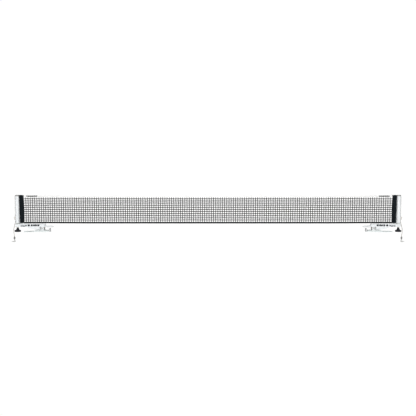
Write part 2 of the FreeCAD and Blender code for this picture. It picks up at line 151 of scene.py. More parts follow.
def mat_white_paint():
    m, nt, b = new_mat("white_paint")
    v = coords(nt)
    c = ramp(nt, noise(nt, v, 18, 3), [(0.3, (0.84, 0.865, 0.88)), (0.7, (0.88, 0.895, 0.905))])
    nt.links.new(c, b.inputs["Base Color"])
    nt.links.new(maprange(nt, noise(nt, v, 60, 4), 0.3, 0.7, 0.26, 0.40), b.inputs["Roughness"])
    b.inputs["Coat Weight"].default_value = 0.25
    b.inputs["Coat Roughness"].default_value = 0.18
    bump(nt, b, noise(nt, v, 900, 2), 0.00012, 0.22)
    return m


def mat_zinc():
    """Bright zinc plate over cold-rolled strip: fine grain along the strip, faint clouding."""
    m, nt, b = new_mat("zinc_steel")
    v = coords(nt)
    grain = noise(nt, scaled(nt, v, (60, 2600, 2600)), 1.0, 3)
    cloud = noise(nt, v, 45, 4, 0.6)
    vor = nd(nt, "ShaderNodeTexVoronoi")
    vor.inputs["Scale"].default_value = 700
    nt.links.new(v, vor.inputs["Vector"])
    f = math_node(nt, "ADD", math_node(nt, "MULTIPLY", grain, 0.25),
                  math_node(nt, "ADD", math_node(nt, "MULTIPLY", cloud, 0.6), math_node(nt, "MULTIPLY", vor.outputs["Distance"], 0.15)))
    c = ramp(nt, f, [(0.3, (0.80, 0.845, 0.845)), (0.7, (0.88, 0.905, 0.90))])
    nt.links.new(c, b.inputs["Base Color"])
    b.inputs["Metallic"].default_value = 0.62
    nt.links.new(maprange(nt, f, 0.3, 0.7, 0.34, 0.46), b.inputs["Roughness"])
    bump(nt, b, grain, 0.00003, 0.12)
    return m


def mat_steel(name, col, rough, metallic=1.0, grain=(900, 900, 60)):
    m, nt, b = new_mat(name)
    v = coords(nt)
    n1 = noise(nt, scaled(nt, v, grain), 1.0, 4)
    lo = tuple(x * 0.82 for x in col)
    c = ramp(nt, n1, [(0.3, lo), (0.7, col)])
    nt.links.new(c, b.inputs["Base Color"])
    b.inputs["Metallic"].default_value = metallic
    nt.links.new(maprange(nt, n1, 0.3, 0.7, rough * 0.8, rough * 1.25), b.inputs["Roughness"])
    bump(nt, b, n1, 0.00004, 0.2)
    return m


def mat_plastic(name, col, rough, grain=2600, depth=0.00006, edge=0.06):
    m, nt, b = new_mat(name)
    v = coords(nt)
    n0 = noise(nt, v, 40, 3)
    # painted highlight: the base colour turns lighter on convex edges
    w = convex_edge_highlight(nt, edge)
    base = ramp(nt, math_node(nt, "ADD", n0, w),
                [(0.3, col), (0.75, tuple(min(1, x * 1.25 + 0.004) for x in col)), (1.0, tuple(min(1, x * 2.2 + 0.03) for x in col))])
    nt.links.new(base, b.inputs["Base Color"])
    nt.links.new(maprange(nt, noise(nt, v, 90, 4), 0.3, 0.7, rough * 0.85, rough * 1.15), b.inputs["Roughness"])
    bump(nt, b, noise(nt, v, grain, 1), depth, 0.5)
    return m


def mat_rubber(name, col):
    m, nt, b = new_mat(name)
    v = coords(nt)
    c = ramp(nt, noise(nt, v, 120, 4), [(0.3, tuple(x * 0.85 for x in col)), (0.7, tuple(x * 1.15 for x in col))])
    nt.links.new(c, b.inputs["Base Color"])
    b.inputs["Roughness"].default_value = 0.82
    bump(nt, b, noise(nt, v, 1500, 3), 0.0001, 0.5)
    return m


def weave_height(nt, v, pitch, axes=(0, 2)):
    """Over-and-under weave of two yarn directions, pitch in metres, in the plane of the two axes."""
    s = nd(nt, "ShaderNodeSeparateXYZ")
    nt.links.new(v, s.inputs[0])
    a, c = s.outputs[axes[0]], s.outputs[axes[1]]
    k = 2 * math.pi / pitch
    sa = math_node(nt, "SINE", math_node(nt, "MULTIPLY", a, k))
    sc = math_node(nt, "SINE", math_node(nt, "MULTIPLY", c, k))
    prod = math_node(nt, "MULTIPLY", sa, sc)
    ra = math_node(nt, "ABSOLUTE", math_node(nt, "SINE", math_node(nt, "MULTIPLY", a, k / 2)))
    rc = math_node(nt, "ABSOLUTE", math_node(nt, "SINE", math_node(nt, "MULTIPLY", c, k / 2)))
    up = math_node(nt, "GREATER_THAN", prod, 0.0)
    h = math_node(nt, "ADD", math_node(nt, "MULTIPLY", up, ra), math_node(nt, "MULTIPLY", math_node(nt, "SUBTRACT", 1.0, up), rc))
    return h


def mat_cloth(name, dark, light, pitch, depth, rough=0.85, sheen=0.3, fold=0.25, spec=0.5):
    m, nt, b = new_mat(name)
    v = coords(nt)
    h = weave_height(nt, v, pitch)
    blot = noise(nt, v, 55, 4)
    f = math_node(nt, "ADD", math_node(nt, "MULTIPLY", h, 0.6), math_node(nt, "MULTIPLY", blot, fold + 0.15))
    c = ramp(nt, f, [(0.15, dark), (0.85, light)])
    nt.links.new(c, b.inputs["Base Color"])
    b.inputs["Roughness"].default_value = rough
    b.inputs["Specular IOR Level"].default_value = spec
    b.inputs["Sheen Weight"].default_value = sheen
    b.inputs["Sheen Roughness"].default_value = 0.5
    bump(nt, b, h, depth, 0.8)
    return m


def mat_yarn(name, dark, light, rough=0.62, pitch=0.0011, depth=0.0001, sheen=0.15, spec=0.5):
    """Twisted twine: slanting fine ridges."""
    m, nt, b = new_mat(name)
    v = coords(nt)
    w = nd(nt, "ShaderNodeTexWave", wave_type="BANDS", bands_direction="DIAGONAL")
    w.inputs["Scale"].default_value = 0.31 / pitch
    w.inputs["Distortion"].default_value = 1.2
    w.inputs["Detail"].default_value = 1.0
    nt.links.new(v, w.inputs["Vector"])
    c = ramp(nt, math_node(nt, "ADD", math_node(nt, "MULTIPLY", w.outputs["Fac"], 0.6), math_node(nt, "MULTIPLY", noise(nt, v, 70, 3), 0.4)),
             [(0.2, dark), (0.8, light)])
    nt.links.new(c, b.inputs["Base Color"])
    b.inputs["Roughness"].default_value = rough
    b.inputs["Specular IOR Level"].default_value = spec
    b.inputs["Sheen Weight"].default_value = sheen
    bump(nt, b, w.outputs["Fac"], depth, 0.6)
    return m


M = {
    "white_paint": mat_white_paint(),
    "zinc_steel": mat_zinc(),
    "bright_steel": mat_steel("bright_steel", (0.70, 0.70, 0.69), 0.28),
    # painted light: the spring wire gets a pale colour, lighter than its dark steel, to lift it out of the shade
    # inside the clamp
    "spring_steel": mat_steel("spring_steel", (0.80, 0.75, 0.70), 0.36, metallic=0.8),
    "grey_rubber": mat_rubber("grey_rubber", (0.68, 0.685, 0.685)),
    "black_plastic": mat_plastic("black_plastic", (0.036, 0.037, 0.044), 0.42),
    "dark_grey_plastic": mat_plastic("dark_grey_plastic", (0.29, 0.285, 0.275), 0.32),
    "nylon": mat_plastic("nylon", (0.62, 0.62, 0.58), 0.45),
    "brass": mat_steel("brass", (0.70, 0.52, 0.24), 0.27),
    "zinc_casting": mat_steel("zinc_casting", (0.86, 0.83, 0.80), 0.40, metallic=0.55, grain=(500, 500, 500)),
    "black_fabric": mat_cloth("black_fabric", (0.0110, 0.0148, 0.0178), (0.034, 0.0435, 0.0510), 0.0011, 0.00022, 0.9, 0.04, 0.25, 0.12),
    "light_grey_plastic": mat_plastic("light_grey_plastic", (0.33, 0.33, 0.325), 0.42),
    "beige_cord": mat_yarn("beige_cord", (0.42, 0.385, 0.335), (0.66, 0.62, 0.56), 0.8, 0.0009, 0.00012, 0.3),
    "net_yarn": mat_yarn("net_yarn", (0.006, 0.006, 0.0065), (0.022, 0.022, 0.024), 0.7, 0.0011, 0.0001, 0.04, 0.18),
    "white_tape": mat_cloth("white_tape", (0.90, 0.90, 0.895), (0.97, 0.97, 0.965), 0.0009, 0.00016, 0.9, 0.2, 0.15),
    "black_band": mat_cloth("black_band", (0.006, 0.0072, 0.0085), (0.019, 0.0215, 0.024), 0.0010, 0.0002, 0.9, 0.04, 0.25, 0.12),
    "white_thread": mat_yarn("white_thread", (0.66, 0.66, 0.65), (0.85, 0.85, 0.84), 0.8, 0.0004, 0.00005),
    "black_thread": mat_yarn("black_thread", (0.02, 0.022, 0.025), (0.075, 0.08, 0.085), 0.6, 0.0004, 0.00005),
    "print_dark": mat_plastic("print_dark", (0.030, 0.033, 0.040), 0.5, 1800, 0.00002, 0.0),
    "print_tape": mat_plastic("print_tape", (0.095, 0.098, 0.10), 0.7, 1800, 0.00003, 0.0),
    "print_grey": mat_plastic("print_grey", (0.17, 0.18, 0.19), 0.55, 1800, 0.00002, 0.0),
}

SLOT = {s["node"]: s["material_slot"] for s in frame["record"]["subparts"]}
for name, obj in NODES.items():
    mat = M[SLOT[name]]
    obj.data.materials.clear()
    obj.data.materials.append(mat)


# ------------------------------------------------------------------ mesh tools
def mesh_obj(name, verts, faces, mat, smooth=True):
    me = bpy.data.meshes.new(name)
    verts = np.asarray(verts, float)
    me.from_pydata([tuple(v) for v in verts], [], [tuple(int(i) for i in f) for f in faces])
    me.validate()
    me.update()
    if smooth:
        me.polygons.foreach_set("use_smooth", [True] * len(me.polygons))
    o = bpy.data.objects.new(name, me)
    bpy.context.scene.collection.objects.link(o)
    me.materials.append(mat)
    return o


def fast_mesh(name, verts, quads, mat, tris=None, smooth=True):
    """Mesh from numpy arrays of vertices, quads and triangles."""
    verts = np.ascontiguousarray(verts, np.float32)
    quads = np.ascontiguousarray(quads, np.int32).reshape(-1, 4)
    tris = np.zeros((0, 3), np.int32) if tris is None else np.ascontiguousarray(tris, np.int32).reshape(-1, 3)
    me = bpy.data.meshes.new(name)
    me.vertices.add(len(verts))
    me.vertices.foreach_set("co", verts.ravel())
    nl = len(quads) * 4 + len(tris) * 3
    me.loops.add(nl)
    me.loops.foreach_set("vertex_index", np.concatenate([quads.ravel(), tris.ravel()]))
    me.polygons.add(len(quads) + len(tris))
    starts = np.concatenate([np.arange(len(quads)) * 4, len(quads) * 4 + np.arange(len(tris)) * 3]).astype(np.int32)
    me.polygons.foreach_set("loop_start", starts)
    me.polygons.foreach_set("use_smooth", np.full(len(starts), smooth))
    me.update(calc_edges=True)
    me.validate()
    o = bpy.data.objects.new(name, me)
    bpy.context.scene.collection.objects.link(o)
    me.materials.append(mat)
    return o


def tube_arrays(paths, radius, sides, cap=True, phase=0.0):
    """Closed tubes of one ring count along many paths: paths is (n, k, 3)."""
    paths = np.asarray(paths, float)
    n, k, _ = paths.shape
    t = np.gradient(paths, axis=1)
    t /= np.linalg.norm(t, axis=2, keepdims=True)
    ref = np.where(np.abs(t[:, :, 1:2]) < 0.9, np.array([0, 1.0, 0]), np.array([1.0, 0, 0]))
    a = np.cross(t, ref)
    a /= np.linalg.norm(a, axis=2, keepdims=True)
    b = np.cross(t, a)
    ang = phase + np.arange(sides) * 2 * math.pi / sides
    r = np.broadcast_to(np.asarray(radius, float), (n, k)) if np.ndim(radius) else np.full((n, k), float(radius))
    v = (paths[:, :, None, :] + r[:, :, None, None] * (a[:, :, None, :] * np.cos(ang)[None, None, :, None]
                                                      + b[:, :, None, :] * np.sin(ang)[None, None, :, None]))
    verts = v.reshape(-1, 3)
    i = np.arange(n)[:, None, None] * (k * sides)
    j = np.arange(k - 1)[None, :, None] * sides
    s = np.arange(sides)[None, None, :]
    s1 = (s + 1) % sides
    quads = np.stack([i + j + s, i + j + s1, i + j + sides + s1, i + j + sides + s], -1).reshape(-1, 4)
    tris = []
    if cap:
        for base in (0, (k - 1) * sides):
            for q in range(1, sides - 1):
                x = np.arange(n) * k * sides + base
                tri = np.stack([x, x + q + 1, x + q], -1) if base == 0 else np.stack([x, x + q, x + q + 1], -1)
                tris.append(tri)
    return verts, quads, np.concatenate(tris) if tris else np.zeros((0, 3), int)


def fix_normals(o):
    import bmesh
    bm = bmesh.new()
    bm.from_mesh(o.data)
    bmesh.ops.recalc_face_normals(bm, faces=bm.faces)
    bm.to_mesh(o.data)
    bm.free()
    return o


def section_sweep(name, sections, mat, closed_ends=True):
    """Closed section rings (k, s, 3) joined into one closed skin."""
    sections = np.asarray(sections, float)
    k, s, _ = sections.shape
    verts = sections.reshape(-1, 3)
    j = np.arange(k - 1)[:, None] * s
    q = np.arange(s)[None, :]
    q1 = (q + 1) % s
    quads = np.stack([j + q, j + q1, j + s + q1, j + s + q], -1).reshape(-1, 4)
    faces = [tuple(f) for f in quads]
    if closed_ends:
        faces.append(tuple(range(s))[::-1])
        faces.append(tuple((k - 1) * s + x for x in range(s)))
    return fix_normals(mesh_obj(name, verts, faces, mat))


def turn(points):
    """A left-end piece's points turned half round about Z, for the right end."""
    p = np.array(points, float)
    p[..., 0] *= -1
    p[..., 1] *= -1
    return p


def both_ends(make):
    """make(side, place) builds a piece; place maps left-end points to the side."""
    return [make("left", lambda p: np.array(p, float)), make("right", turn)]


# ------------------------------------------------------------------ camera, floor, light
scene = bpy.context.scene
PITCH = math.radians(5.3)
DIST = 4.054
TARGET_Z = 0.090
cam_data = bpy.data.cameras.new("camera")
cam_data.sensor_width = 36.0
cam_data.lens = 36.0 * 852.7 / 416.0
cam_data.clip_start = 0.05
cam_data.clip_end = 60.0
cam = bpy.data.objects.new("camera", cam_data)
cam.location = (0.0, -DIST * math.cos(PITCH), TARGET_Z + DIST * math.sin(PITCH))
cam.rotation_euler = (math.radians(90) - PITCH, 0.0, 0.0)
scene.collection.objects.link(cam)
scene.camera = cam

FLOOR_Z = -0.0745
FLOOR_GLOW = 0.56
SKY_LOW, SKY_HIGH, SIDE_DIM = 0.84, 1.25, 0.0
KEY, TOP = 14.0, 11.0
fm, fnt, fb = new_mat("floor_paper")
fv = coords(fnt)
fnt.links.new(ramp(fnt, noise(fnt, fv, 6, 3), [(0.3, (0.49, 0.49, 0.49)), (0.7, (0.51, 0.51, 0.51))]), fb.inputs["Base Color"])
fb.inputs["Roughness"].default_value = 1.0
fb.inputs["Specular IOR Level"].default_value = 0.0
fb.inputs["Emission Color"].default_value = (1, 1, 1, 1)
fb.inputs["Emission Strength"].default_value = FLOOR_GLOW
# seen directly, the paper sweep is an even white with no tone of its own
fem = nd(fnt, "ShaderNodeEmission")
fem.inputs["Strength"].default_value = 1.02
fmix = nd(fnt, "ShaderNodeMixShader")
fnt.links.new(nd(fnt, "ShaderNodeLightPath").outputs["Is Camera Ray"], fmix.inputs[0])
fnt.links.new(fb.outputs[0], fmix.inputs[1])
fnt.links.new(fem.outputs[0], fmix.inputs[2])
fnt.links.new(fmix.outputs[0], fnt.nodes["Material Output"].inputs["Surface"])
R = 14.0
floor = mesh_obj("floor", [(-R, -R, FLOOR_Z), (R, -R, FLOOR_Z), (R, R, FLOOR_Z), (-R, R, FLOOR_Z)], [(0, 1, 2, 3)], fm, smooth=False)

world = bpy.data.worlds.new("studio")
scene.world = world
world.use_nodes = True
wn = world.node_tree
bg = wn.nodes["Background"]
bg.inputs["Color"].default_value = (1, 1, 1, 1)
# a white studio: light from above and in front, dimmer towards the two sides, and a clean white wall behind
lp = nd(wn, "ShaderNodeLightPath")
geo = nd(wn, "ShaderNodeTexCoord")
sepw = nd(wn, "ShaderNodeSeparateXYZ")
wn.links.new(geo.outputs["Generated"], sepw.inputs[0])
up = maprange(wn, sepw.outputs[2], 0.0, 0.9, SKY_LOW, SKY_HIGH)
aside = maprange(wn, math_node(wn, "ABSOLUTE", sepw.outputs[0]), 0.25, 0.80, 1.0, SIDE_DIM)
grad = math_node(wn, "MULTIPLY", up, aside)
mixw = nd(wn, "ShaderNodeMix", data_type="FLOAT")
wn.links.new(lp.outputs["Is Camera Ray"], mixw.inputs[0])
wn.links.new(grad, mixw.inputs[2])
mixw.inputs[3].default_value = 1.02
wn.links.new(mixw.outputs[0], bg.inputs["Strength"])


def area_light(name, loc, target, size, power, size_y=None):
    ld = bpy.data.lights.new(name, "AREA")
    ld.energy = power
    ld.size = size
    if size_y:
        ld.shape = "RECTANGLE"
        ld.size_y = size_y
    o = bpy.data.objects.new(name, ld)
    o.location = loc
    o.rotation_euler = (Vector(target) - Vector(loc)).to_track_quat("-Z", "Y").to_euler()
    scene.collection.objects.link(o)
    return o


area_light("key", (0.0, -1.7, 1.25), (0, 0, 0.03), 1.3, KEY, 0.8)
area_light("top", (0, 0.3, 2.2), (0, 0, 0), 2.4, TOP, 1.2)
scene.view_settings.view_transform = "Standard"
scene.view_settings.look = "None"
scene.view_settings.gamma = 0.74

# ------------------------------------------------------------------ the net
NET_X = HALF - 0.0393
Z_BAND = 0.0235
Z_TAPE = 0.140
COLS = 167
ROW = 0.0101
YARN_V, YARN_H = 0.00124, 0.00136
KNOT_R = 0.00200
dx = 2 * NET_X / COLS
zs = [0.0327 + ROW * k for k in range(11)]                    # horizontal strands
nr = len(zs)
# knot places: a regular grid that breathes a little, as a knotted net under tension does
gx = -NET_X + dx * np.arange(1, COLS)
low = lambda n, k: np.convolve(rng.standard_normal(n + 2 * k), np.ones(2 * k + 1) / (2 * k + 1), "valid")
jx = np.stack([low(COLS - 1, 3) for _ in range(nr)]) * 0.0006
jx = (jx + np.roll(jx, 1, 0) + np.roll(jx, -1, 0)) / 2.2 + rng.standard_normal((nr, COLS - 1)) * 0.00026
jz = np.stack([low(COLS - 1, 5) for _ in range(nr)]) * 0.0007 + rng.standard_normal((nr, COLS - 1)) * 0.00014
billow = np.interp(gx, np.linspace(-NET_X, NET_X, 25), np.concatenate([[0], rng.uniform(-1, 1, 23), [0]]) * 0.0016)
KX = gx[None, :] + jx
KZ = np.array(zs)[:, None] + jz
taper = np.sin(np.pi * np.clip((np.array(zs) - Z_BAND) / (Z_TAPE - Z_BAND), 0, 1))
KY = billow[None, :] * taper[:, None] + rng.standard_normal((nr, COLS - 1)) * 0.00008

# vertical strands: band, knots, tape, with two points between each pair
SUB = 2


def through(points, sag):
    """Points between each pair of knots, drawn slightly aside: (n, k, 3) -> finer (n, m, 3)."""
    out = [points[:, :1]]
    for i in range(points.shape[1] - 1):
        a, b = points[:, i], points[:, i + 1]
        off = rng.standard_normal(a.shape) * sag
        for j in range(1, SUB + 1):
            f = j / (SUB + 1)
            out.append((a * (1 - f) + b * f + off * math.sin(math.pi * f))[:, None])
        out.append(b[:, None])
    return np.concatenate(out, 1)


n = COLS - 1
vp = np.zeros((n, nr + 2, 3))
vp[:, 0] = np.stack([gx, np.zeros(n), np.full(n, Z_BAND - 0.0025)], -1)
vp[:, -1] = np.stack([gx + rng.standard_normal(n) * 0.0002, np.zeros(n), np.full(n, Z_TAPE + 0.0035)], -1)
vp[:, 1:-1] = np.stack([KX.T, KY.T, KZ.T], -1)
vfine = through(vp, np.array([0.00030, 0.0001, 0.0]))
v1, q1, t1 = tube_arrays(vfine, YARN_V, 6)
hp = np.zeros((nr, n + 2, 3))
hp[:, 0] = np.stack([np.full(nr, -NET_X - 0.0012), np.zeros(nr), np.array(zs)], -1)
hp[:, -1] = np.stack([np.full(nr, NET_X + 0.0012), np.zeros(nr), np.array(zs)], -1)
hp[:, 1:-1] = np.stack([KX, KY, KZ], -1)
hfine = through(hp, np.array([0.0, 0.0001, 0.00016]))
v2, q2, t2 = tube_arrays(hfine, YARN_H, 6)
o1 = len(v1)
strands = fast_mesh("net_strands", np.concatenate([v1, v2]), np.concatenate([q1, q2 + o1]), M["net_yarn"],
                    np.concatenate([t1, t2 + o1]))


def knot_blob():
    """One knot: two crossing lobes on a flattened ball."""
    lat, lon = 6, 8
    vs, qs, ts = [], [], []
    vs.append((0, 0, 1))
    for i in range(1, lat):
        for j in range(lon):
            th, ph = math.pi * i / lat, 2 * math.pi * j / lon
            vs.append((math.sin(th) * math.cos(ph), math.sin(th) * math.sin(ph), math.cos(th)))
    vs.append((0, 0, -1))
    for j in range(lon):
        ts.append((0, 1 + j, 1 + (j + 1) % lon))
        b = 1 + (lat - 2) * lon
        ts.append((b + j, len(vs) - 1, b + (j + 1) % lon))
        for i in range(lat - 2):
            a = 1 + i * lon
            qs.append((a + j, a + lon + j, a + lon + (j + 1) % lon, a + (j + 1) % lon))
    v = np.array(vs, float)
    diag = np.abs(v[:, 0] * v[:, 2]) * 0.35 * np.sign(v[:, 0] * v[:, 2])
    r = 1.0 + diag + 0.10 * np.cos(3 * np.arctan2(v[:, 1], v[:, 0]))
    v = v * r[:, None] * np.array([0.92, 0.86, 1.08])
    return v, np.array(qs), np.array(ts)


kv, kq, kt = knot_blob()
cent = np.stack([KX, KY, KZ], -1).reshape(-1, 3)
flip = np.where(rng.random(len(cent)) < 0.5, -1.0, 1.0)
size = KNOT_R * (1 + rng.uniform(-0.14, 0.14, len(cent)))
pts = kv[None, :, :] * size[:, None, None]
pts[:, :, 1] += 0.0002 * flip[:, None]
allv = (cent[:, None, :] + pts).reshape(-1, 3)
offs = (np.arange(len(cent)) * len(kv))[:, None, None]
knots = fast_mesh("net_knots", allv, (kq[None] + offs).reshape(-1, 4), M["net_yarn"], (kt[None] + offs).reshape(-1, 3))
for o in (strands, knots):
    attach(o, "net_carrier")
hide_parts("net_mesh")

# ------------------------------------------------------------------ top tape
TAPE_X = HALF - 0.0395
ncut = 560
tx = np.linspace(-TAPE_X, TAPE_X, ncut + 1)
PLY = 0.00055


def tape_profile():
    """Half section of the folded tape, outer ply: (y, z) from the front hem over the cord to the back hem."""
    zb, zt, r = 0.1401, 0.1524, 0.00205
    cz = zt - r
    front = [(-0.00125, zb), (-0.00130, zb + 0.0012), (-0.00112, zb + 0.0026), (-0.00122, zb + 0.0045), (-0.00150, zb + 0.0066)]
    arc = [(-r * math.cos(a), cz + r * math.sin(a)) for a in np.linspace(-0.28, math.pi + 0.28, 11)]
    back = [(-y, z) for y, z in front][::-1]
    return np.array(front + arc + back)


prof = tape_profile()
mid = np.gradient(prof, axis=0)
nrm = np.stack([mid[:, 1], -mid[:, 0]], -1)
nrm /= np.linalg.norm(nrm, axis=1, keepdims=True)
inn = prof + nrm * PLY
if np.abs(inn[5:16, 0]).max() > np.abs(prof[5:16, 0]).max():
    inn = prof - nrm * PLY
ring = np.concatenate([prof, inn[::-1]])
wob = np.interp(tx, np.linspace(-TAPE_X, TAPE_X, 90), rng.uniform(-1, 1, 90))
wob2 = np.interp(tx, np.linspace(-TAPE_X, TAPE_X, 160), rng.uniform(-1, 1, 160))
STITCH = 0.0044
pull = 0.5 + 0.5 * np.cos(2 * math.pi * tx / STITCH)
sec = np.zeros((len(tx), len(ring), 3))
hem = np.clip(1 - (ring[:, 1] - 0.1401) / 0.006, 0, 1)
for i, x in enumerate(tx):
    y = ring[:, 0] * (1 + 0.05 * wob2[i] * hem) + hem * 0.00010 * wob[i]
    y = y * (1 - 0.05 * pull[i] * np.exp(-((ring[:, 1] - 0.1427) / 0.0012) ** 2))
    z = ring[:, 1] + 0.00016 * wob[i] * hem
    sec[i, :, 0] = x
    sec[i, :, 1] = y
    sec[i, :, 2] = z
tape = section_sweep("tape_folded", sec, M["white_tape"])
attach(tape, "net_carrier")
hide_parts("top_tape")


def stitches(name, xs, y_of, z, length, r, mat, body="net_carrier", drop=None):
    """Thread stitches standing just proud of cloth: short arcs, each going in at both ends."""
    xs = np.asarray(xs, float)
    f = np.linspace(-0.5, 0.5, 6)
    paths = []
    for s in (-1, 1):
        for x in xs:
            px = x + f * length
            py = s * (y_of + r * 0.7 - (np.abs(f) * 2) ** 3 * r * 1.6)
            paths.append(np.stack([px, py, np.full(6, z) + (f * 0.0003 * s) - (drop(x) if drop else 0.0)], -1))
    v, q, t = tube_arrays(np.array(paths), r, 5)
    o = fast_mesh(name, v, q, mat, t)
    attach(o, body)
    return o


sx = np.arange(-TAPE_X + 0.004, TAPE_X - 0.003, STITCH)
st1 = stitches("tape_stitches_low", sx, 0.00120, 0.1427, STITCH * 0.72, 0.00022, M["white_thread"])
st2 = stitches("tape_stitches_high", sx + 0.0015, 0.00140, 0.1462, STITCH * 0.72, 0.00022, M["white_thread"])

# ------------------------------------------------------------------ bottom band
nb = 440


def sag(x):
    """How far the lower edge hangs below the line of the clamps, between the two arms."""
    return 0.0013 * np.clip((0.772 - np.abs(x)) / 0.20, 0, 1) ** 0.7


bx = np.linspace(-TAPE_X, TAPE_X, nb + 1)
bw = np.interp(bx, np.linspace(-TAPE_X, TAPE_X, 80), rng.uniform(-1, 1, 80))
ang = np.linspace(0, 2 * math.pi, 16, endpoint=False)
bsec = np.zeros((len(bx), 16, 3))
for i, x in enumerate(bx):
    z0 = 0.02090
    cy = np.cos(ang)
    sz = np.sin(ang)
    y = 0.00150 * np.sign(cy) * np.abs(cy) ** 0.75 * (1 - 0.25 * np.clip(sz, 0, 1))
    z = z0 + 0.00318 * np.sign(sz) * np.abs(sz) ** 0.75
    bsec[i, :, 0] = x
    bsec[i, :, 1] = y * (1 + 0.05 * bw[i])
    bsec[i, :, 2] = z + 0.00010 * bw[i] - sag(x)
band = section_sweep("bottom_binding", bsec, M["black_band"])
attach(band, "net_carrier")
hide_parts("bottom_band")
st3 = stitches("binding_stitches", np.arange(-TAPE_X + 0.003, TAPE_X - 0.002, 0.0048), 0.00150, 0.0213, 0.0034, 0.0002, M["black_thread"], drop=sag)


# ------------------------------------------------------------------ sleeves
def sleeve_outline(top):
    """Outline of the sleeve as (u, half depth): a pocket round the rod, narrowing to the sewn edge.
    top goes from 0 on the rod to 1 where the cloth is pulled over the head of the post."""
    nose = 1.50 + (2.85 - 1.50) * top
    deep = 5.30 + 0.42 * top
    pts_ = []
    for u in np.concatenate([17.85 + 0.8 * (1 - np.cos(np.linspace(0, math.pi / 2, 6)[:-1])), np.linspace(18.65, 39.25, 26)]):
        if u < 22.6:
            c = (22.6 - u) / (22.6 - 17.85)
            d = deep * math.sqrt(max(0.0, 1 - c ** 2.6))
        elif u < 30.3:
            d = deep
        elif u < 36.2:
            c = (u - 30.3) / 5.9
            d = deep + (nose - deep) * (c * c * (3 - 2 * c))
        else:
            d = nose - 0.22 * max(0.0, (u - 38.6) / 0.65)
        pts_.append((u, d))
    return np.array(pts_)


def loop_of(out):
    """Closed loop of (u, y) from a half outline, with its outward normals."""
    us, ds = out[:, 0], out[:, 1]
    P = np.stack([np.concatenate([us, us[::-1][:-1]]), np.concatenate([-ds, ds[::-1][:-1]])], -1)
    T = np.roll(P, -1, 0) - np.roll(P, 1, 0)
    N = np.stack([T[:, 1], -T[:, 0]], -1)
    N /= np.maximum(np.linalg.norm(N, axis=1, keepdims=True), 1e-9)
    if (N * (P - P.mean(0))).sum() < 0:
        N = -N
    return P, N


